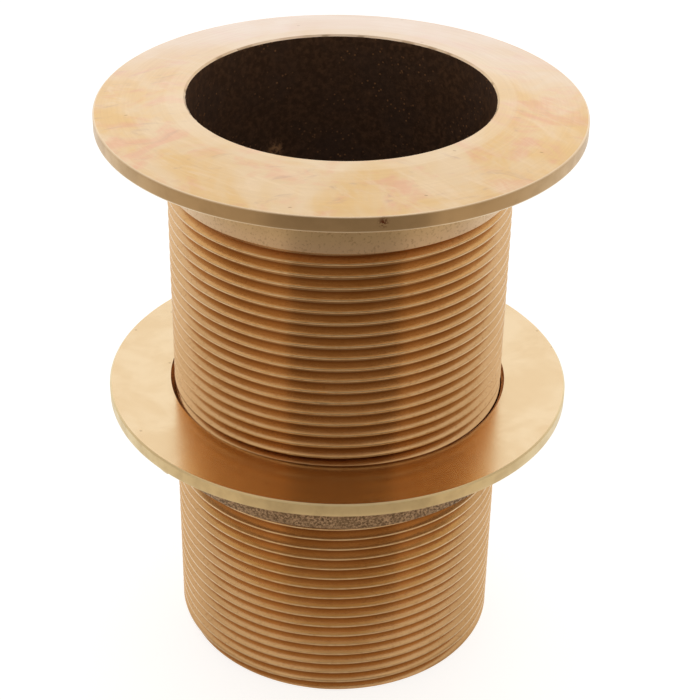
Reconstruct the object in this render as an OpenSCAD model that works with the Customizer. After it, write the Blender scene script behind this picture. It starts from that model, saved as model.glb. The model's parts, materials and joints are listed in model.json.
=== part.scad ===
// Through-hull fitting: a flanged, threaded tube and the flanged backing nut that clamps it to a hull.
// It stands on the tube's lower end, with the mounting flange at the top. Millimetres, +Z up.
// The thread is drawn as rings of the true pitch and profile, because the exact solids are turned shapes.

/* [Hull fitting] */
// Outside diameter of the mounting flange
flange_d = 84; // [80:0.5:90]
// Thickness of the flange at its rim
flange_rim = 2.7; // [2:0.1:4]
// Height that the flange's face rises from the rim to the bore
face_rise = 2; // [0.5:0.1:3]
// Diameter of the through bore
bore_d = 52.8; // [50:0.1:54]
// Diameter of the plain neck under the flange
neck_d = 60.6; // [60.4:0.1:62]
// Length of the plain neck under the flange
neck_l = 10; // [6:0.5:15]
// Overall length from the bore's rim to the tube's lower end
overall_l = 107; // [95:1:130]

/* [Thread] */
// Major diameter of the straight pipe thread
thread_d = 60.3; // [59.9:0.1:60.3]
// Pitch of the thread, 11.5 threads per inch
pitch = 2.2087; // [2.1:0.0001:2.4]
// Width of each crest's flat
crest_flat = 0.44; // [0.3:0.02:0.6]
// Width of each root's flat
root_flat = 0.2; // [0.1:0.02:0.3]

/* [Backing nut] */
// Outside diameter of the nut's flange
nut_d = 84; // [80:0.5:90]
// Thickness of the nut's flange at its rim
nut_rim = 2.5; // [2:0.1:4]
// Overall height of the nut
nut_h = 12; // [10:0.5:16]
// Diameter of the nut's round collar at its lower end
collar_d = 66; // [65:0.5:74]
// Height of the nut's upper face above the tube's lower end
nut_face_z = 51.6; // [20:0.1:85]
// Diameter of the countersink where it meets the nut's upper face
countersink_d = 61.7; // [61:0.1:63]

/* [Hidden] */

$fn = 180;
bronze = [0.80, 0.60, 0.38];
thread_angle = 60;       // included angle of the thread's flanks
edge = 0.5;              // chamfer at both ends of the bore
end_chamfer = 0.9;       // chamfer on the tube's threaded end
rim_edge = 0.3;          // chamfer on the nut's upper rim
collar_draft = 0.5;      // how far the cast collar widens towards the nut's flange
running_gap = 0.05;      // clearance between the nut, its thread and the tube
insert_wall = 1.2;       // radial depth of the nut that belongs to its thread
lip = 1;                 // height of plain nut left under the thread

flange_r = flange_d / 2;
bore_r = bore_d / 2;
neck_r = neck_d / 2;
crest_r = thread_d / 2;
flank_h = (pitch - crest_flat - root_flat) / 2;
thread_depth = flank_h / tan(thread_angle / 2);
root_r = crest_r - thread_depth;

rim_top_z = overall_l - face_rise;
flange_under_z = rim_top_z - flange_rim;
neck_end_z = flange_under_z - neck_l;
// The groove under the neck is a little deeper than the others by the neck's extra radius
neck_flank_h = (neck_r - root_r) * tan(thread_angle / 2);
first_crest_z = neck_end_z - neck_flank_h - root_flat - flank_h - crest_flat / 2;
lowest_crest_z = 1.5;
crest_count = floor((first_crest_z - lowest_crest_z) / pitch) + 1;
last_crest_z = first_crest_z - (crest_count - 1) * pitch;
// The tube's end is the start of one more crest, cut back by the chamfer
end_root_z = last_crest_z - crest_flat / 2 - flank_h - root_flat;
end_lip_z = end_root_z / 2;
end_lip_r = root_r + (end_root_z - end_lip_z) / tan(thread_angle / 2);

nut_r = nut_d / 2;
collar_r = collar_d / 2;
countersink_r = countersink_d / 2;
nut_bore_r = crest_r + running_gap;
countersink_h = countersink_r - nut_bore_r;
nut_base_z = nut_face_z - nut_h;
nut_rim_z = nut_face_z - nut_rim;
insert_r = nut_bore_r + insert_wall;
insert_base_z = nut_base_z + lip;
insert_top_z = nut_face_z - nut_rim / 2 - countersink_h;

// The outline of one crest whose middle is at height z, from its lower root to its upper root
function crest_points(z) = [
    [root_r, z - crest_flat / 2 - flank_h],
    [crest_r, z - crest_flat / 2],
    [crest_r, z + crest_flat / 2],
    [root_r, z + crest_flat / 2 + flank_h]
];

// Every crest of the tube's thread, from the tube's end up to the neck
thread_points = [
    for (k = [0 : crest_count - 1])
        for (p = crest_points(last_crest_z + k * pitch)) p
];

// One casting: flange, plain neck and threaded tube, bored right through
module hull_fitting() {
    color(bronze)
    rotate_extrude()
    polygon(concat(
        [
            [bore_r, edge],
            [bore_r + edge, 0],
            [end_lip_r - end_chamfer / 2, 0],
            [end_lip_r, end_lip_z],
            [root_r, end_root_z]
        ],
        thread_points,
        [
            [root_r, neck_end_z - neck_flank_h],
            [neck_r, neck_end_z],
            [neck_r, flange_under_z],
            [flange_r, flange_under_z],
            [flange_r, rim_top_z],
            [bore_r + edge, overall_l],
            [bore_r, overall_l - edge]
        ]
    ));
}

// The nut's flange and its round cast collar, with the room that its thread takes up
module backing_nut() {
    color(bronze)
    rotate_extrude()
    polygon([
        [nut_bore_r, nut_base_z],
        [collar_r, nut_base_z],
        [collar_r + collar_draft, nut_rim_z],
        [nut_r, nut_rim_z],
        [nut_r, nut_face_z - rim_edge],
        [nut_r - rim_edge, nut_face_z],
        [countersink_r, nut_face_z],
        [nut_bore_r, nut_face_z - countersink_h],
        [nut_bore_r, insert_top_z + running_gap],
        [insert_r + running_gap, insert_top_z + running_gap],
        [insert_r + running_gap, insert_base_z - running_gap],
        [nut_bore_r, insert_base_z - running_gap]
    ]);
}

// The ring of metal that holds the nut's thread, turned smooth just clear of the tube's crests
module nut_thread() {
    color(bronze)
    rotate_extrude()
    polygon([
        [nut_bore_r, insert_base_z],
        [insert_r, insert_base_z],
        [insert_r, insert_top_z],
        [nut_bore_r, insert_top_z]
    ]);
}

hull_fitting();
backing_nut();
nut_thread();
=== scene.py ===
# Thru hull fitting: a cast bronze tube with a mounting flange and a pipe thread, and its backing nut.
# Lengths are in metres in the CAD frame: +Z is up, and the tube's threaded end stands at z = 0.
import json
import math
import random
from collections import namedtuple

import bmesh
import bpy
import numpy as np
from mathutils import Matrix, Vector, noise


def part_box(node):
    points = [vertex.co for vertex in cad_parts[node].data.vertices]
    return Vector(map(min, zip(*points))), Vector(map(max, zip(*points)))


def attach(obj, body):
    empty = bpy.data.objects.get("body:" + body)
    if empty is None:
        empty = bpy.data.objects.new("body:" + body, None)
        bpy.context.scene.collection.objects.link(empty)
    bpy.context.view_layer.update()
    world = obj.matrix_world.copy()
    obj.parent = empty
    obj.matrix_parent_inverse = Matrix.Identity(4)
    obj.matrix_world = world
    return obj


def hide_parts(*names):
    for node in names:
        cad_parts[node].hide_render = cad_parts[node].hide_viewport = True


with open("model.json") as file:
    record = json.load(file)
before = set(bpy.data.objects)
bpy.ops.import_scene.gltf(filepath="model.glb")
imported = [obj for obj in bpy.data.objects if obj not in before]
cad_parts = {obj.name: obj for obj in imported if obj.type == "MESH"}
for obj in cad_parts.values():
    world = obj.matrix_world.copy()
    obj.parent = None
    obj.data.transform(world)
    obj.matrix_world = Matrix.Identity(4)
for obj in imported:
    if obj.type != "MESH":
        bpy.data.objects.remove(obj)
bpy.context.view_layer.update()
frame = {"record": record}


def on_circle(radius, degrees, z):
    """The point at a radius and height, and at an angle around the axis from +X."""
    angle = math.radians(degrees)
    return Vector((radius * math.cos(angle), radius * math.sin(angle), z))


# --------------------------------------------------------------------------------------------------
# Sizes
# --------------------------------------------------------------------------------------------------
MM = 0.001
mounts = {mount["name"]: mount for mount in frame["record"]["mounts"]}
neck = mounts["hull_hole_neck"]
fitting_low, fitting_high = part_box("hull_fitting")
nut_low, nut_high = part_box("backing_nut")

# The hull fitting
TOP_Z = fitting_high.z
END_Z = fitting_low.z
FLANGE_R = fitting_high.x
FLANGE_UNDER_Z = mounts["flange_seat"]["pos_m"][2]
RIM_HEIGHT = 2.7 * MM
RIM_TOP_Z = FLANGE_UNDER_Z + RIM_HEIGHT
RIM_EDGE = 0.3 * MM             # rounding of the flange's rim
INNER_RING_R = 29.8 * MM        # outer edge of the flatter ring around the bore
INNER_RING_DROP = 0.2 * MM      # how far that ring falls from the bore outwards
NECK_R = neck["dims"]["r_mm"] * MM
NECK_END_Z = neck["pos_m"][2] - neck["dims"]["length_mm"] * MM / 2
NECK_FILLET = 0.6 * MM          # between the flange's underside and the neck
NECK_BEVEL = 0.12 * MM          # on the neck's lower edge
BORE_R = mounts["through_bore"]["dims"]["r_mm"] * MM
BORE_BEVEL = 0.32 * MM          # at the bore's upper edge
BORE_END_BEVEL = 0.5 * MM       # at the bore's lower edge
BORE_FINE_Z = TOP_Z - 25 * MM   # the casting lumps have more points above this height

# The thread, one right-hand helix shared by the tube and the nut
PITCH = frame["record"]["behaviour"]["couplings"][0]["ratio"] * 2 * math.pi
CREST_R = mounts["male_thread"]["dims"]["r_mm"] * MM
CREST_FLAT = 0.34 * MM
ROOT_FLAT = 0.3 * MM
FLANK = (PITCH - CREST_FLAT - ROOT_FLAT) / 2    # a flank's height
FLANK_SLOPE = math.tan(math.radians(60))
ROOT_R = CREST_R - FLANK * FLANK_SLOPE
FRONT_CREST_Z = NECK_END_Z - 1.97 * MM   # a crest's middle on the side that faces -Y
RUN_OUT = 0.85 * MM                      # height over which the thread fades out under the neck
END_BEVEL = 0.15 * MM                    # on the tube's threaded end
THREAD_FINE_Z = END_Z + 3 * MM           # the flanks have more points below this height
CREST_ROUND = 0.06 * MM                  # how far each edge of a crest is burnished over

# The backing nut
NUT_R = nut_high.x
NUT_FACE_Z = nut_high.z
NUT_BASE_Z = nut_low.z
NUT_RIM_HEIGHT = 2.5 * MM
NUT_UNDER_Z = NUT_FACE_Z - NUT_RIM_HEIGHT
NUT_RIM_EDGE = 0.28 * MM
COLLAR_R = 33.0 * MM
COLLAR_TOP_R = COLLAR_R + 0.5 * MM
COLLAR_BEVEL = 0.3 * MM
COLLAR_FILLET = 0.7 * MM
COUNTERSINK_R = 30.85 * MM
LEAD_IN_R = COUNTERSINK_R - 0.3 * MM    # the countersink at the nut's lower end
COUNTERSINK_EDGE = 0.05 * MM
THREAD_PLAY = 0.12 * MM                 # radial play between the two threads

# Marks that the photograph shows
STUB = Vector((-12.3 * MM, 23.3 * MM, TOP_Z - 21.6 * MM))             # casting metal in the bore
RIM_MARK = on_circle(FLANGE_R, -81, FLANGE_UNDER_Z + 0.65 * RIM_HEIGHT)  # rust on the flange's rim
RIM_NUB = on_circle(NUT_R - 0.8 * MM, -135.4, NUT_UNDER_Z)            # metal under the nut's rim
NICKS = 70                                                            # on the thread's crests

# Points around each casting's turned surfaces
FITTING_COLUMNS = 280
NUT_COLUMNS = 480


# --------------------------------------------------------------------------------------------------
# Turned surfaces
# --------------------------------------------------------------------------------------------------
# A straight stretch of an outline, from where the last one ended to (r, z). lumps says how far the
# skin stands out at a place, and is None where it is smooth.
Stretch = namedtuple("Stretch", "r z rows finish lumps", defaults=(None,))
LAST_ROW_LUMPS = 0.35   # the lumps are weaker on a stretch's last row, beside a turned edge


class Skin:
    """The points and faces of one casting, made of closed loops that share their columns of points."""

    def __init__(self, columns):
        self.angles = np.arange(columns) * 2 * math.pi / columns
        self.points = []
        self.faces = []
        self.finishes = []

    def point(self, radius, angle, height):
        self.points.append((radius * math.cos(angle), radius * math.sin(angle), height))
        return len(self.points) - 1

    def loop(self, radius, height, lift=None):
        """Adds a loop and returns its points' numbers. lift gives (dr, dz) at a place on it."""
        made = []
        for angle in self.angles:
            dr, dz = lift(radius, angle, height) if lift else (0.0, 0.0)
            made.append(self.point(radius + dr, angle, height + dz))
        return made

    def face(self, corners, finish):
        """Adds a face, and leaves out corners that fall together."""
        corners = list(dict.fromkeys(corners))
        if len(corners) > 2:
            self.faces.append(corners)
            self.finishes.append(finish)

    def band(self, lower, upper, finish):
        """Joins two loops."""
        for column in range(len(lower)):
            following = (column + 1) % len(lower)
            corners = (lower[column], lower[following], upper[following], upper[column])
            self.face(corners, finish)

    def sweep(self, loop, start, stretches):
        """Continues from a loop at start = (r, z) along an outline, and returns the last loop."""
        r0, z0 = start
        for stretch in stretches:
            dr, dz = stretch.r - r0, stretch.z - z0
            length = math.hypot(dr, dz)
            across = (dz / length, -dr / length)
            for row in range(1, stretch.rows + 1):
                share = row / stretch.rows
                strength = 1.0 if row < stretch.rows else LAST_ROW_LUMPS
                lift = lift_along(across, stretch.lumps, strength) if stretch.lumps else None
                upper = self.loop(r0 + dr * share, z0 + dz * share, lift)
                self.band(loop, upper, stretch.finish)
                loop = upper
            r0, z0 = stretch.r, stretch.z
        return loop

    def build(self, name, finishes, sharp_angle):
        """Makes the object, with outward faces and sharp edges above sharp_angle degrees."""
        mesh = bpy.data.meshes.new(name)
        mesh.from_pydata(self.points, [], self.faces)
        for finish in finishes:
            mesh.materials.append(finish)
        mesh.polygons.foreach_set("material_index", self.finishes)
        work = bmesh.new()
        work.from_mesh(mesh)
        bmesh.ops.dissolve_degenerate(work, dist=1e-7, edges=work.edges)
        bmesh.ops.recalc_face_normals(work, faces=work.faces)
        work.to_mesh(mesh)
        work.free()
        mesh.shade_smooth()
        mesh.set_sharp_from_angle(angle=math.radians(sharp_angle))
        made = bpy.data.objects.new(name, mesh)
        bpy.context.scene.collection.objects.link(made)
        weighted = made.modifiers.new("flat_faces", "WEIGHTED_NORMAL")
        weighted.keep_sharp = True
        return made


def lift_along(across, lumps, strength):
    """The lift of a loop's points: the lumps' height times strength, along the direction across."""
    def lift(radius, angle, z):
        place = Vector((radius * math.cos(angle), radius * math.sin(angle), z))
        height = lumps(place) * strength
        return across[0] * height, across[1] * height
    return lift


def cast_lumps(height, grain):
    """As-cast skin: lumps of that height and grain size, with finer and wider ones among them."""
    def lumps(place):
        at = place / grain
        return height * (noise.noise(at) + 0.6 * noise.noise(at * 2.3) + 0.5 * noise.noise(at * 0.27))
    return lumps


def stub_lumps(centre, reach, height, spokes, around):
    """Adds a small star-shaped stub of metal to the lumps around it. With no spokes it is round."""
    def lumps(place):
        away = place - centre
        edge = reach * (0.75 + 0.25 * math.cos(spokes * math.atan2(away.z, away.x)))
        return around(place) + height * max(0.0, 1 - (away.length / edge) ** 2)
    return lumps


def smooth(place):
    """No lumps."""
    return 0.0


def arc(centre, radius, start, end, rows, finish):
    """Stretches of an outline along a round corner, from start to end in degrees."""
    steps = [math.radians(start + (end - start) * row / rows) for row in range(1, rows + 1)]
    points = [(centre[0] + radius * math.cos(a), centre[1] + radius * math.sin(a)) for a in steps]
    return [Stretch(r, z, 1, finish) for r, z in points]


# --------------------------------------------------------------------------------------------------
# Thread
# --------------------------------------------------------------------------------------------------
NICK_LENGTH = (0.6 * MM, 2.0 * MM)
NICK_DEPTH = (0.02 * MM, 0.08 * MM)
CHATTER_DEPTH = 0.02 * MM
CHATTER_LENGTH = 2.5 * MM
CHATTER_SHIFT = 9.7     # moves the chatter's noise on from turn to turn, so that no two look alike


def thread_profile(splits):
    """One pitch from a crest's middle upwards, as (height, radius), with each flank in splits parts."""
    crest = CREST_FLAT / 2
    rounded = CREST_ROUND / 2 / FLANK
    falling = [(crest - CREST_ROUND, CREST_R)]
    for part in range(splits + 1):
        share = rounded + (1 - rounded) * part / splits
        falling.append((crest + FLANK * share, CREST_R + (ROOT_R - CREST_R) * share))
    rising = [(PITCH - height, radius) for height, radius in reversed(falling)]
    return falling + rising


def thread_wall(skin, low_z, high_z, splits, finish, limit, wear=None, low_loop=None):
    """A helical wall between two level planes. limit(radius, z) trims it, and wear(angle, z) takes
    off each crest. Returns the level loops at its lower and upper ends."""
    profile = thread_profile(splits)
    first_turn = math.floor((low_z - FRONT_CREST_Z) / PITCH) - 2
    last_turn = math.ceil((high_z - FRONT_CREST_Z) / PITCH) + 2
    turns = range(first_turn, last_turn)
    rows = [(turn * PITCH + height, radius) for turn in turns for height, radius in profile]
    low, high, grid = [], [], []
    for column, angle in enumerate(skin.angles):
        rise = FRONT_CREST_Z + PITCH * (angle + math.pi / 2) / (2 * math.pi)
        heights = np.array([rise + height for height, _ in rows])
        radii = np.array([radius for _, radius in rows])
        if wear:
            taken = [wear(angle, z) if r > CREST_R - CREST_ROUND else 0.0 for r, z in zip(radii, heights)]
            radii = radii - taken
        start = np.interp(low_z, heights, radii)
        end = np.interp(high_z, heights, radii)
        low.append(low_loop[column] if low_loop else skin.point(limit(start, low_z), angle, low_z))
        high.append(skin.point(limit(end, high_z), angle, high_z))
        numbers = []
        for radius, height in zip(radii, heights):
            if height <= low_z:
                numbers.append(low[column])
            elif height >= high_z:
                numbers.append(high[column])
            else:
                numbers.append(skin.point(limit(radius, height), angle, height))
        grid.append(numbers)
    # After one turn the helix is a pitch higher, so the last column meets the first a pitch further up
    per_pitch = len(profile)
    grid.append([grid[0][min(row + per_pitch, len(rows) - 1)] for row in range(len(rows))])
    for here, there in zip(grid, grid[1:]):
        for row in range(len(rows) - 1):
            skin.face((here[row], there[row], there[row + 1], here[row + 1]), finish)
    return low, high


def crest_wear(seed, count):
    """The nicks and the cutting chatter of a used thread's crest, as wear(angle, z)."""
    draw = random.Random(seed)
    nicks = []
    for _ in range(count):
        place = (draw.uniform(0, 2 * math.pi), draw.uniform(END_Z, NECK_END_Z))
        nicks.append((*place, draw.uniform(*NICK_LENGTH), draw.uniform(*NICK_DEPTH)))

    def wear(angle, z):
        around = Vector((math.cos(angle), math.sin(angle), 0)) * CREST_R / CHATTER_LENGTH
        along = Vector((0, 0, z / PITCH * CHATTER_SHIFT))
        taken = CHATTER_DEPTH * (1 + noise.noise(around + along))
        for nick_angle, nick_z, length, depth in nicks:
            if abs(z - nick_z) < PITCH / 2:
                away = abs((angle - nick_angle + math.pi) % (2 * math.pi) - math.pi) * CREST_R
                if away < length:
                    taken = max(taken, depth * (1 - (away / length) ** 2))
        return taken
    return wear


# --------------------------------------------------------------------------------------------------
# Nodes
# --------------------------------------------------------------------------------------------------
# The colour sockets of a Mix node
MIX_FIRST, MIX_SECOND, MIX_RESULT = 6, 7, 2


class Nodes:
    """Short calls for the nodes of a material or of the world."""

    def __init__(self, tree):
        self.tree = tree

    def feed(self, socket, value):
        """Links an output to a socket, or sets the socket to a constant."""
        if isinstance(value, bpy.types.NodeSocket):
            self.tree.links.new(value, socket)
        else:
            socket.default_value = value

    def add(self, kind, inputs=(), **settings):
        made = self.tree.nodes.new(kind)
        for name, value in settings.items():
            setattr(made, name, value)
        for name, value in dict(inputs).items():
            self.feed(made.inputs[name], value)
        return made

    def math(self, operation, first, second=0.0):
        return self.add("ShaderNodeMath", {0: first, 1: second}, operation=operation).outputs[0]

    def split(self, vector):
        parts = self.add("ShaderNodeSeparateXYZ", {0: vector})
        return [parts.outputs[axis] for axis in "XYZ"]

    def span(self, value, low, high, to_low=0.0, to_high=1.0):
        """Maps low..high smoothly to to_low..to_high."""
        ends = {"From Min": low, "From Max": high, "To Min": to_low, "To Max": to_high}
        settings = {"interpolation_type": "SMOOTHSTEP"}
        return self.add("ShaderNodeMapRange", {"Value": value, **ends}, **settings).outputs["Result"]

    def mix(self, share, first, second, blend="MIX"):
        """A colour between first and second. Either may be a colour or an output."""
        made = self.add("ShaderNodeMix", {0: share}, data_type="RGBA", blend_type=blend)
        for socket, value in ((MIX_FIRST, first), (MIX_SECOND, second)):
            self.feed(made.inputs[socket], (*value, 1) if isinstance(value, tuple) else value)
        return made.outputs[MIX_RESULT]

    def ahead(self, x, y):
        """The angle around the axis from straight in front of the part, -Y."""
        return self.math("ARCTAN2", x, self.math("MULTIPLY", y, -1.0))

    def sector(self, angle, low, high, edge):
        """One between the angles low and high in degrees, and nothing elsewhere."""
        above = self.span(angle, math.radians(low - edge), math.radians(low + edge))
        below = self.span(angle, math.radians(high - edge), math.radians(high + edge), 1.0, 0.0)
        return self.math("MULTIPLY", above, below)


class Surface(Nodes):
    """A new material's nodes, with the places on its object that patterns follow."""

    def __init__(self, name):
        self.material = bpy.data.materials.new(name)
        self.material.use_nodes = True
        super().__init__(self.material.node_tree)
        self.shader = self.tree.nodes["Principled BSDF"]
        self.place = self.add("ShaderNodeTexCoord").outputs["Object"]
        self.x, self.y, self.z = self.split(self.place)
        self.plan = self.add("ShaderNodeCombineXYZ", {0: self.x, 1: self.y}).outputs[0]
        length = self.add("ShaderNodeVectorMath", {0: self.plan}, operation="LENGTH")
        self.radius = length.outputs["Value"]


class Finish(Surface):
    """A procedural metal finish. Scales of patterns are in repeats per metre."""

    def __init__(self, name, metallic=1.0, turned=0.0):
        super().__init__(name)
        self.shader.inputs["Metallic"].default_value = metallic
        if turned:
            # Turning marks run around the axis, so they smear reflections across themselves
            around = self.add("ShaderNodeTangent", direction_type="RADIAL", axis="Z")
            self.set("Tangent", around.outputs["Tangent"])
            self.shader.inputs["Anisotropic"].default_value = turned
            self.shader.inputs["Anisotropic Rotation"].default_value = 0.25

    def set(self, socket, value):
        self.tree.links.new(value, self.shader.inputs[socket])

    def stretch(self, vector, scale):
        """The vector with each axis multiplied by scale."""
        inputs = {0: vector, 1: scale}
        return self.add("ShaderNodeVectorMath", inputs, operation="MULTIPLY").outputs["Vector"]

    def lathe(self, around, along, height):
        """Coordinates for turning marks: long around the axis, and fine along height, an output."""
        x = self.math("MULTIPLY", self.x, around)
        y = self.math("MULTIPLY", self.y, around)
        fine = self.math("MULTIPLY", height, along)
        return self.add("ShaderNodeCombineXYZ", {0: x, 1: y, 2: fine}).outputs[0]

    def noise(self, vector, scale, detail=2.0, roughness=0.5, distortion=0.0):
        look = {"Scale": scale, "Detail": detail, "Roughness": roughness, "Distortion": distortion}
        return self.add("ShaderNodeTexNoise", {"Vector": vector, **look}).outputs["Fac"]

    def cells(self, vector, scale, dimensions="3D"):
        inputs = {"Vector": vector, "Scale": scale}
        made = self.add("ShaderNodeTexVoronoi", inputs, voronoi_dimensions=dimensions)
        return made.outputs["Distance"]

    def near(self, point, reach):
        """One at a point of the part, falling to nothing at that distance from it."""
        inputs = {0: self.place, 1: tuple(point)}
        away = self.add("ShaderNodeVectorMath", inputs, operation="DISTANCE").outputs["Value"]
        return self.span(away, 0.0, reach, 1.0, 0.0)

    def bump(self, *layers):
        """Stacks bumps, each (height, distance in metres), on the shader's normal."""
        normal = None
        for height, distance in layers:
            inputs = {"Height": height, "Distance": distance, "Strength": 1.0}
            if normal:
                inputs["Normal"] = normal
            normal = self.add("ShaderNodeBump", inputs).outputs["Normal"]
        self.set("Normal", normal)


# --------------------------------------------------------------------------------------------------
# Finishes
# --------------------------------------------------------------------------------------------------
WIPE_ANGLE = math.radians(38)   # the wipe marks on the flange run this way


def flange_face_finish():
    """The flange's upper face: pale satin bronze with yellow and pink heat stains and wipe marks, and a
    painted sheen on its far side and on a ring around the bore.
    """
    made = Finish("turned_flange_face", turned=0.5)
    pale, yellow, pink = (0.86, 0.655, 0.425), (0.90, 0.635, 0.32), (0.87, 0.50, 0.345)
    brown, wiped_clean, painted_far_side_sheen = (0.60, 0.42, 0.33), (0.93, 0.72, 0.49), (0.96, 0.83, 0.74)
    ring_painted_sheen, groove, pit = (0.93, 0.76, 0.55), (0.62, 0.42, 0.24), (0.36, 0.2, 0.1)
    stains = made.noise(made.plan, 62.0, 4.0, 0.6, 0.8)
    blush = made.noise(made.stretch(made.plan, (1.0, 1.5, 1.0)), 85.0, 5.0, 0.62, 1.0)
    tarnish = made.noise(made.stretch(made.plan, (0.7, 1.3, 1.0)), 150.0, 3.0, 0.6, 2.2)
    turn = {"Vector": made.plan, "Angle": WIPE_ANGLE}
    wiped = made.add("ShaderNodeVectorRotate", turn, rotation_type="Z_AXIS").outputs[0]
    streaks = made.noise(made.stretch(wiped, (1.0, 3.6, 1.0)), 105.0, 4.0, 0.65, 1.0)
    marks = made.noise(made.lathe(70.0, 2600.0, made.radius), 1.0, 2.0)
    grain = made.noise(made.place, 1500.0, 2.0)
    spots = made.cells(made.stretch(made.plan, (1.0, 2.6, 1.0)), 38.0, "2D")
    colour = made.mix(made.span(stains, 0.36, 0.64), pale, yellow)
    colour = made.mix(made.span(blush, 0.49, 0.68, 0.0, 0.65), colour, pink)
    colour = made.mix(made.span(tarnish, 0.58, 0.76, 0.0, 0.4), colour, brown)
    colour = made.mix(made.span(streaks, 0.50, 0.72, 0.0, 0.6), colour, wiped_clean)
    # Painted reflection: the face is painted paler towards its far side, +Y
    colour = made.mix(made.span(made.y, -8 * MM, 40 * MM, 0.0, 0.9), colour, painted_far_side_sheen)
    # Painted sheen: the flatter ring around the bore is painted paler
    ring = made.span(made.radius, INNER_RING_R - 0.5 * MM, INNER_RING_R + 0.3 * MM, 0.35, 0.0)
    colour = made.mix(ring, colour, ring_painted_sheen)
    colour = made.mix(made.span(marks, 0.3, 0.7, 0.0, 0.10), colour, groove)
    colour = made.mix(made.span(spots, 0.006, 0.016, 0.6, 0.0), colour, pit)
    made.set("Base Color", colour)
    made.set("Roughness", made.span(stains, 0.3, 0.7, 0.38, 0.52))
    made.bump((marks, 1.5e-6), (grain, 2e-6), (streaks, 6e-6), (blush, 1.5e-5))
    return made.material


def rim_finish():
    """The flange's turned rim, with a painted highlight along each of its two edges, and a small rusty
    mark.
    """
    made = Finish("turned_rim", turned=0.8)
    light, dark, rust_colour = (0.71, 0.50, 0.275), (0.63, 0.44, 0.24), (0.20, 0.05, 0.02)
    upper_painted_highlight, lower_painted_highlight = (0.93, 0.74, 0.52), (1.0, 0.88, 0.68)
    marks = made.noise(made.lathe(60.0, 5200.0, made.z), 1.0, 2.0)
    patches = made.noise(made.place, 170.0, 3.0, 0.6)
    ragged = made.noise(made.place, 1600.0, 3.0, 0.6, 1.0)
    # Painted highlights: pale bands along the rim's rounded upper and lower edges
    upper = made.span(made.z, RIM_TOP_Z - 0.3 * MM, RIM_TOP_Z - 0.05 * MM, 0.0, 0.9)
    lower = made.span(made.z, FLANGE_UNDER_Z + 0.15 * MM, FLANGE_UNDER_Z + 0.4 * MM, 1.0, 0.0)
    rust = made.math("MULTIPLY", made.near(RIM_MARK, 1.3 * MM), made.span(ragged, 0.48, 0.56))
    colour = made.mix(made.span(patches, 0.36, 0.66), light, dark)
    colour = made.mix(upper, colour, upper_painted_highlight)
    colour = made.mix(lower, colour, lower_painted_highlight)
    colour = made.mix(rust, colour, rust_colour)
    made.set("Base Color", colour)
    made.set("Roughness", made.span(patches, 0.3, 0.7, 0.30, 0.40))
    made.bump((marks, 2e-6), (patches, 1e-5))
    return made.material


def neck_finish():
    """The plain neck under the flange, duller and speckled, and pinker towards the thread."""
    made = Finish("speckled_neck", turned=0.6)
    light, dark = (0.80, 0.595, 0.345), (0.73, 0.535, 0.31)
    pink, speck = (0.84, 0.61, 0.42), (0.42, 0.27, 0.14)
    specks = made.noise(made.place, 2100.0, 3.0, 0.65)
    patches = made.noise(made.place, 150.0, 3.0, 0.6)
    lower = made.span(made.z, NECK_END_Z + 0.4 * MM, NECK_END_Z + 3.5 * MM, 0.6, 0.0)
    colour = made.mix(made.span(patches, 0.38, 0.66), light, dark)
    colour = made.mix(lower, colour, pink)
    colour = made.mix(made.span(specks, 0.54, 0.66, 0.0, 0.4), colour, speck)
    made.set("Base Color", colour)
    made.set("Roughness", made.span(specks, 0.3, 0.7, 0.30, 0.42))
    made.bump((specks, 6e-6), (patches, 8e-6))
    return made.material


def thread_finish(name, root_r, crest_r):
    """A cut thread: a painted highlight on the crests, and warmer grooves with cutting marks, with
    painted shade darkening them towards the root.
    """
    made = Finish(name, turned=0.5)
    light, dark, painted_root_shade = (0.76, 0.49, 0.25), (0.72, 0.455, 0.22), (0.29, 0.12, 0.042)
    painted_highlight, dirt = (0.83, 0.60, 0.36), (0.40, 0.20, 0.08)
    to_crest = math.copysign(MM, crest_r - root_r)
    marks = made.noise(made.lathe(220.0, 5200.0, made.z), 1.0, 3.0, 0.65)
    grit = made.noise(made.stretch(made.place, (1.0, 1.0, 1.7)), 1500.0, 3.0, 0.65)
    patches = made.noise(made.place, 110.0, 2.0)
    wear = made.noise(made.place, 620.0, 3.0, 0.6)
    # Painted shade: the grooves are painted darker towards the root
    groove = made.span(made.radius, root_r - 0.1 * to_crest, crest_r - 0.5 * to_crest, 0.45, 0.0)
    # Painted highlight: the crests are painted paler, broken up by the wear noise
    crest = made.span(made.radius, crest_r - 0.10 * to_crest, crest_r - 0.03 * to_crest)
    crest = made.math("MULTIPLY", crest, made.span(wear, 0.36, 0.56, 0.3, 1.0))
    colour = made.mix(made.span(patches, 0.35, 0.65), light, dark)
    colour = made.mix(groove, colour, painted_root_shade)
    colour = made.mix(crest, colour, painted_highlight)
    colour = made.mix(made.span(grit, 0.55, 0.70, 0.0, 0.30), colour, dirt)
    made.set("Base Color", colour)
    made.set("Roughness", made.span(marks, 0.3, 0.7, 0.17, 0.25))
    made.bump((marks, 1.6e-6), (grit, 3e-6))
    return made.material


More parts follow.
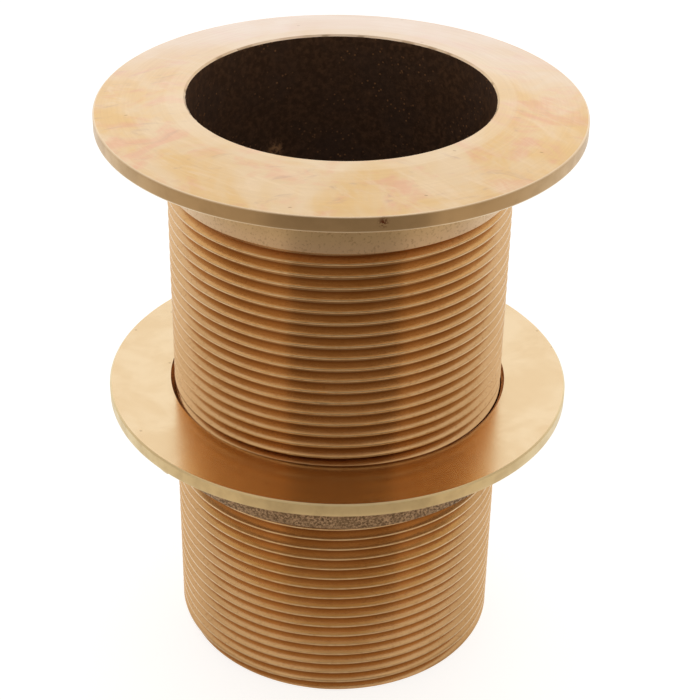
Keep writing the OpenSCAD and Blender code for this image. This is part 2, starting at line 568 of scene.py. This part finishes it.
def bore_finish():
    """The as-cast bore: very dark, with faint warm specks, and a brighter stub of metal."""
    made = Finish("as_cast_bore", metallic=0.35)
    black, brown, cloud = (0.10, 0.058, 0.038), (0.19, 0.108, 0.066), (0.10, 0.068, 0.056)
    warm_speck, bare_metal = (0.50, 0.26, 0.12), (0.70, 0.42, 0.23)
    made.shader.inputs["Specular IOR Level"].default_value = 0.3
    made.shader.inputs["Specular Tint"].default_value = (0.55, 0.38, 0.3, 1)
    specks = made.cells(made.place, 1000.0)
    lumps = made.noise(made.place, 1100.0, 4.0, 0.65)
    clouds = made.noise(made.place, 130.0, 3.0)
    warm = made.math("MULTIPLY", made.span(specks, 0.08, 0.26, 0.9, 0.0), made.span(clouds, 0.42, 0.6))
    stub = made.math("MULTIPLY", made.near(STUB, 2.4 * MM), made.span(lumps, 0.40, 0.60, 0.15, 1.0))
    colour = made.mix(made.span(lumps, 0.38, 0.68), black, brown)
    colour = made.mix(made.span(clouds, 0.35, 0.65, 0.0, 0.5), colour, cloud)
    colour = made.mix(warm, colour, warm_speck)
    colour = made.mix(stub, colour, bare_metal)
    made.set("Base Color", colour)
    made.set("Roughness", made.span(lumps, 0.3, 0.7, 0.55, 0.75))
    made.bump((lumps, 5e-5))
    return made.material


def nut_face_finish():
    """The nut's upper face: turned and polished enough to mirror the tube."""
    made = Finish("polished_nut_face", turned=0.85)
    light, dark, pit = (0.87, 0.665, 0.415), (0.82, 0.60, 0.35), (0.45, 0.28, 0.14)
    marks = made.noise(made.lathe(90.0, 4200.0, made.radius), 1.0, 2.0)
    patches = made.noise(made.plan, 90.0, 3.0, 0.6, 0.5)
    grit = made.noise(made.place, 1700.0, 2.0)
    spots = made.cells(made.plan, 52.0, "2D")
    colour = made.mix(made.span(patches, 0.36, 0.64), light, dark)
    colour = made.mix(made.span(spots, 0.006, 0.018, 0.5, 0.0), colour, pit)
    made.set("Base Color", colour)
    made.set("Roughness", made.span(patches, 0.3, 0.7, 0.13, 0.18))
    made.bump((marks, 6e-7), (grit, 1.5e-6), (patches, 3e-6))
    return made.material


def nut_rim_finish():
    """The nut's rim and underside: turned, a little greener, with a painted highlight along its upper
    edge.
    """
    made = Finish("turned_nut_rim", turned=0.6)
    light, dark, painted_highlight = (0.86, 0.70, 0.405), (0.79, 0.635, 0.365), (0.94, 0.78, 0.48)
    marks = made.noise(made.lathe(60.0, 5200.0, made.z), 1.0, 2.0)
    patches = made.noise(made.place, 300.0, 3.0, 0.6)
    # Painted highlight: a pale band along the rim's upper edge
    upper = made.span(made.z, NUT_FACE_Z - 0.35 * MM, NUT_FACE_Z - 0.1 * MM, 0.0, 0.8)
    colour = made.mix(made.span(patches, 0.4, 0.65), light, dark)
    colour = made.mix(upper, colour, painted_highlight)
    made.set("Base Color", colour)
    made.set("Roughness", made.span(patches, 0.3, 0.7, 0.34, 0.44))
    made.bump((marks, 2e-6), (patches, 1.2e-5))
    return made.material


def sand_cast_finish():
    """The nut's rough collar, as it came out of the sand."""
    made = Finish("sand_cast_skin", metallic=0.7)
    hollow, grain, patch = (0.15, 0.09, 0.045), (0.54, 0.36, 0.21), (0.31, 0.20, 0.105)
    grit = made.noise(made.place, 2400.0, 4.0, 0.7)
    patches = made.noise(made.place, 260.0, 2.0)
    colour = made.mix(made.span(grit, 0.4, 0.62), hollow, grain)
    colour = made.mix(made.span(patches, 0.45, 0.7, 0.0, 0.4), colour, patch)
    made.set("Base Color", colour)
    made.set("Roughness", made.span(grit, 0.3, 0.7, 0.62, 0.45))
    made.bump((grit, 1.2e-4))
    return made.material


# --------------------------------------------------------------------------------------------------
# Hull fitting
# --------------------------------------------------------------------------------------------------
FACE, RIM, NECK, THREAD, BORE = range(5)


def fitting_thread(skin):
    """The tube's threaded outside. Returns its lower and upper loops."""
    def limit(radius, z):
        end_bevel_r = CREST_R - END_BEVEL + (z - END_Z)
        run_out_r = CREST_R - (z - (NECK_END_Z - RUN_OUT)) * FLANK_SLOPE
        return min(radius, end_bevel_r, max(run_out_r, ROOT_R))

    wear = crest_wear(seed=11, count=NICKS)
    low, middle = thread_wall(skin, END_Z, THREAD_FINE_Z, 4, THREAD, limit, wear)
    _, high = thread_wall(skin, THREAD_FINE_Z, NECK_END_Z, 1, THREAD, limit, wear, low_loop=middle)
    return low, high


def fitting_outline():
    """From the top of the thread up the neck, around the flange and down the bore."""
    bore_lumps = stub_lumps(STUB, 1.9 * MM, 0.5 * MM, 5, cast_lumps(0.07 * MM, 1.4 * MM))
    ragged_edge = cast_lumps(0.22 * MM, 0.7 * MM)
    fillet = (NECK_R + NECK_FILLET, FLANGE_UNDER_Z - NECK_FILLET)
    rim_low = (FLANGE_R - RIM_EDGE, FLANGE_UNDER_Z + RIM_EDGE)
    rim_high = (FLANGE_R - RIM_EDGE, RIM_TOP_Z - RIM_EDGE)
    return [
        Stretch(NECK_R - NECK_BEVEL, NECK_END_Z, 1, NECK),
        Stretch(NECK_R, NECK_END_Z + NECK_BEVEL, 1, NECK),
        Stretch(NECK_R, fillet[1], 6, NECK),
        *arc(fillet, NECK_FILLET, 180, 90, 4, NECK),
        Stretch(rim_low[0], FLANGE_UNDER_Z, 3, RIM),
        *arc(rim_low, RIM_EDGE, -90, 0, 3, RIM),
        Stretch(FLANGE_R, rim_high[1], 3, RIM),
        *arc(rim_high, RIM_EDGE, 0, 90, 3, RIM),
        Stretch(INNER_RING_R, TOP_Z - INNER_RING_DROP, 6, FACE),
        Stretch(BORE_R + BORE_BEVEL, TOP_Z, 2, FACE),
        Stretch(BORE_R, TOP_Z - BORE_BEVEL, 1, FACE, ragged_edge),
        Stretch(BORE_R, BORE_FINE_Z, 36, BORE, bore_lumps),
        Stretch(BORE_R, END_Z + BORE_END_BEVEL, 18, BORE, bore_lumps),
        Stretch(BORE_R + BORE_END_BEVEL, END_Z, 1, BORE),
    ]


def make_fitting():
    """The hull fitting: threaded tube, neck, flange and bore in one casting."""
    skin = Skin(FITTING_COLUMNS)
    low, high = fitting_thread(skin)
    inner_end = skin.sweep(high, (CREST_R, NECK_END_Z), fitting_outline())
    skin.band(inner_end, low, THREAD)
    cut_thread = thread_finish("cut_thread", ROOT_R, CREST_R)
    finishes = [flange_face_finish(), rim_finish(), neck_finish(), cut_thread, bore_finish()]
    return skin.build("hull_fitting_casting", finishes, 40)


# --------------------------------------------------------------------------------------------------
# Backing nut
# --------------------------------------------------------------------------------------------------
NUT_FACE, NUT_RIM, COLLAR, NUT_THREAD = range(4)


def nut_outline():
    """From the thread's lower end across the base, up the collar and around the flange."""
    grit = cast_lumps(0.085 * MM, 0.75 * MM)
    base_grit = cast_lumps(0.03 * MM, 0.75 * MM)
    rim_nub = stub_lumps(RIM_NUB, 1.3 * MM, 1.0 * MM, 0, smooth)
    fillet = (COLLAR_TOP_R + COLLAR_FILLET, NUT_UNDER_Z - COLLAR_FILLET)
    rim_low = (NUT_R - NUT_RIM_EDGE, NUT_UNDER_Z + NUT_RIM_EDGE)
    return [
        Stretch(COLLAR_R - COLLAR_BEVEL, NUT_BASE_Z, 4, COLLAR, base_grit),
        Stretch(COLLAR_R, NUT_BASE_Z + COLLAR_BEVEL, 1, COLLAR, grit),
        Stretch(COLLAR_TOP_R, fillet[1], 17, COLLAR, grit),
        *arc(fillet, COLLAR_FILLET, 180, 90, 4, COLLAR),
        Stretch(rim_low[0], NUT_UNDER_Z, 14, NUT_RIM, rim_nub),
        *arc(rim_low, NUT_RIM_EDGE, -90, 0, 3, NUT_RIM),
        Stretch(NUT_R, NUT_FACE_Z - NUT_RIM_EDGE, 3, NUT_RIM),
        Stretch(NUT_R - NUT_RIM_EDGE, NUT_FACE_Z, 1, NUT_RIM),
        Stretch(COUNTERSINK_R + COUNTERSINK_EDGE, NUT_FACE_Z, 8, NUT_FACE),
    ]


def make_nut():
    """The backing nut: flange with its countersink, rough collar and inside thread in one casting."""
    def limit(radius, z):
        countersink = COUNTERSINK_R - (NUT_FACE_Z - z)
        lead_in = LEAD_IN_R - (z - NUT_BASE_Z)
        return max(radius + THREAD_PLAY, countersink, lead_in)

    skin = Skin(NUT_COLUMNS)
    low, high = thread_wall(skin, NUT_BASE_Z, NUT_FACE_Z, 4, NUT_THREAD, limit)
    face_end = skin.sweep(low, (CREST_R, NUT_BASE_Z), nut_outline())
    skin.band(face_end, high, NUT_FACE)
    cut_thread = thread_finish("cut_nut_thread", CREST_R + THREAD_PLAY, ROOT_R + THREAD_PLAY)
    finishes = [nut_face_finish(), nut_rim_finish(), sand_cast_finish(), cut_thread]
    return skin.build("backing_nut_casting", finishes, 40)


# --------------------------------------------------------------------------------------------------
# Studio
# --------------------------------------------------------------------------------------------------
FLOOR_HALF = 4.0
FLOOR_Z = END_Z - 0.05 * MM
CARD_HALF = 3.9
CARD_Z = END_Z - 0.02 * MM      # just above the floor
DOME_R = 6.0

# The room that the camera stands in. Angles are in degrees from straight in front of the part.
ROOM_TINT = (1.0, 0.84, 0.66)   # its warm light
ROOM_SIDES = (80, 168)          # it gives way to the white tent between these
ROOM_DEPTH = 0.55               # how much darker it is than the tent
STAND = (-31, 39)               # the still darker camera stand
STAND_EDGE = 1.5                # half the width of the stand's soft edges
STAND_DEPTH = 0.25
ROOF = (0.6, 0.85)              # the room is lighter above this height of the view's direction
ROOF_SHARE = 0.6                # how much of its darkness is left there
TENT_STRENGTH = 1.04

# The room's light on the floor, as (distance from the axis, level), and how far it is read
FLOOR_LIGHT = ((32.5 * MM, 0.46), (70 * MM, 0.64), (125 * MM, 0.76), (175 * MM, 0.60), (237.5 * MM, 0.47))
FLOOR_LIGHT_REACH = 250 * MM
FLOOR_SIDES = (60, 130)         # the room's floor gives way to white between these angles
FLOOR_WHITE = (0.95, 0.95, 0.95)
STAND_FLOOR = (0.02, 0.012, 0.01)


def level_square(name, half, z):
    """A square mesh, level at height z."""
    mesh = bpy.data.meshes.new(name)
    corners = [(-half, -half, z), (half, -half, z), (half, half, z), (-half, half, z)]
    mesh.from_pydata(corners, [], [(0, 1, 2, 3)])
    return mesh


def glowing_white(name, grey, strength):
    """A dull material that glows white, over a plain grey."""
    material = bpy.data.materials.new(name)
    material.use_nodes = True
    shader = material.node_tree.nodes["Principled BSDF"]
    shader.inputs["Base Color"].default_value = (grey, grey, grey, 1)
    shader.inputs["Roughness"].default_value = 0.8
    shader.inputs["Specular IOR Level"].default_value = 0.0
    shader.inputs["Emission Color"].default_value = (1, 1, 1, 1)
    shader.inputs["Emission Strength"].default_value = strength
    return material


def stage(mesh, material, hidden_from):
    """Sets up a studio object, hidden from some kinds of ray."""
    mesh.materials.append(material)
    made = bpy.data.objects.new(mesh.name, mesh)
    bpy.context.scene.collection.objects.link(made)
    for ray in hidden_from:
        setattr(made, "visible_" + ray, False)


def make_floor():
    """A plain pale floor under the tube's end."""
    mesh = level_square("studio_floor", FLOOR_HALF, FLOOR_Z)
    stage(mesh, glowing_white("pale_floor", 0.5, 0.78), ["glossy"])


def make_backdrop():
    """A plain white dome around the studio, which only the camera sees."""
    mesh = bpy.data.meshes.new("studio_backdrop")
    dome = bmesh.new()
    bmesh.ops.create_uvsphere(dome, u_segments=64, v_segments=32, radius=DOME_R)
    dome.to_mesh(mesh)
    dome.free()
    hidden_from = ["diffuse", "glossy", "transmission", "shadow"]
    stage(mesh, glowing_white("white_backdrop", 0.0, 1.0), hidden_from)


def floor_light(made):
    """The level of the room's light on the floor, by the distance from the axis."""
    share = made.math("DIVIDE", made.radius, FLOOR_LIGHT_REACH)
    ramp = made.add("ShaderNodeValToRGB", {"Fac": share})
    stops = ramp.color_ramp.elements
    first, *between, last = FLOOR_LIGHT
    stops[0].position = first[0] / FLOOR_LIGHT_REACH
    stops[0].color = (first[1], first[1], first[1], 1)
    stops[1].position = last[0] / FLOOR_LIGHT_REACH
    stops[1].color = (last[1], last[1], last[1], 1)
    for distance, level in between:
        stops.new(distance / FLOOR_LIGHT_REACH).color = (level, level, level, 1)
    return ramp.outputs["Color"]


def room_on_the_floor():
    """What metal sees of the floor: white beside and behind the part, and the room in front."""
    made = Surface("room_on_the_floor")
    angle = made.ahead(made.x, made.y)
    # Close to the tube the white reaches further round to the front
    closer = made.span(made.radius, 50 * MM, 140 * MM, 1.45, 1.0)
    aside = made.math("MULTIPLY", made.math("ABSOLUTE", angle), closer)
    in_room = made.span(aside, *map(math.radians, FLOOR_SIDES), 1.0, 0.0)
    front = made.mix(1.0, floor_light(made), ROOM_TINT, "MULTIPLY")
    stand_far = made.span(made.radius, 70 * MM, 130 * MM)
    stand = made.math("MULTIPLY", made.sector(angle, *STAND, STAND_EDGE), stand_far)
    front = made.mix(made.math("MULTIPLY", stand, 0.5), front, STAND_FLOOR)
    glow = made.add("ShaderNodeEmission", {"Color": made.mix(in_room, FLOOR_WHITE, front)})
    made.tree.nodes.remove(made.shader)
    output = made.tree.nodes["Material Output"]
    made.tree.links.new(glow.outputs[0], output.inputs["Surface"])
    return made.material


def make_reflection_card():
    """A card on the floor that only reflections see."""
    mesh = level_square("reflection_card", CARD_HALF, CARD_Z)
    stage(mesh, room_on_the_floor(), ["camera", "diffuse", "transmission", "shadow"])


def make_world():
    """A white tent, open to a darker room on the side of the camera."""
    world = bpy.data.worlds.new("white_tent")
    bpy.context.scene.world = world
    world.use_nodes = True
    made = Nodes(world.node_tree)
    x, y, z = made.split(made.add("ShaderNodeTexCoord").outputs["Generated"])
    angle = made.ahead(x, y)
    room = made.span(made.math("ABSOLUTE", angle), *map(math.radians, ROOM_SIDES), 1.0, 0.0)
    indoors = made.math("MULTIPLY", room, made.span(z, *ROOF, 1.0, ROOF_SHARE))
    stand = made.math("MULTIPLY", made.sector(angle, *STAND, STAND_EDGE), STAND_DEPTH)
    shade = made.math("MULTIPLY", indoors, made.math("ADD", stand, ROOM_DEPTH))
    sky = made.tree.nodes["Background"]
    made.feed(sky.inputs["Strength"], made.math("SUBTRACT", TENT_STRENGTH, shade))
    made.feed(sky.inputs["Color"], made.mix(indoors, (1.0, 1.0, 1.0), ROOM_TINT))


def make_camera():
    """Stands in front of the part and above it, and looks down at it."""
    in_front, above = 276.3 * MM, 119.1 * MM
    down, turn, roll = math.radians(31.63), math.radians(-0.46), math.radians(1.08)
    data = bpy.data.cameras.new("camera")
    data.lens = 90.47
    data.sensor_width = 36.0
    data.clip_start = 0.01
    camera = bpy.data.objects.new("camera", data)
    bpy.context.scene.collection.objects.link(camera)
    tilt = Matrix.Rotation(math.radians(90) - down, 4, "X")
    aim = Matrix.Rotation(turn, 4, "Z") @ tilt @ Matrix.Rotation(roll, 4, "Z")
    camera.matrix_world = Matrix.Translation((0, -in_front, TOP_Z + above)) @ aim
    bpy.context.scene.camera = camera


fitting = make_fitting()
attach(fitting, "hull_fitting")
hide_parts("hull_fitting")

nut = make_nut()
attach(nut, "nut")
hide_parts("backing_nut", "nut_thread")

make_floor()
make_backdrop()
make_reflection_card()
make_world()
make_camera()
bpy.context.scene.view_settings.view_transform = "Standard"
